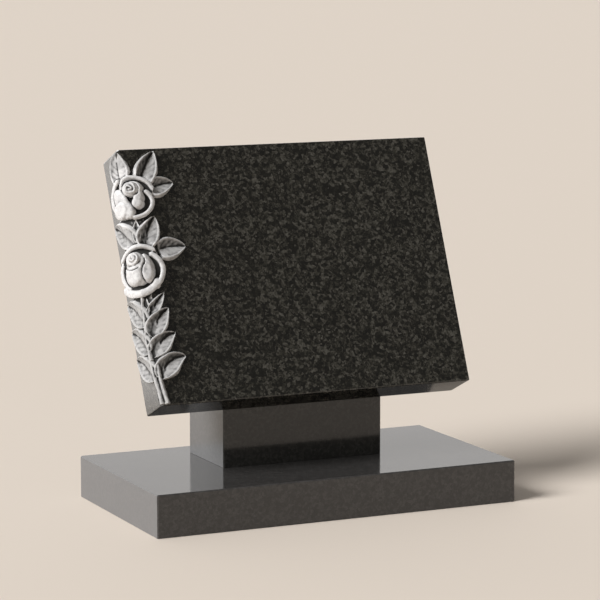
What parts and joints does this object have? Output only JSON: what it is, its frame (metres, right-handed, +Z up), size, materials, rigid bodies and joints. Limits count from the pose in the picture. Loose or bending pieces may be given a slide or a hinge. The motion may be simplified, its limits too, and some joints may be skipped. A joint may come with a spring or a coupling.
{
  "type": "book headstone",
  "caption": "Granite headstone with a slanted tablet carved with roses along one edge, leaning on a rest block on a base slab.",
  "frame": {"origin": "centre of the base slab's underside", "axes": "+Z up, +X along the width, to the right of someone facing the tablet, -Y toward the face"},
  "size_m": [0.69, 0.37, 0.6338],
  "materials": {
    "granite": "polished"
  },
  "bodies": {
    "root": {"base_slab": "granite", "rest_block": "granite", "tablet": "granite"}
  },
  "joints": []
}
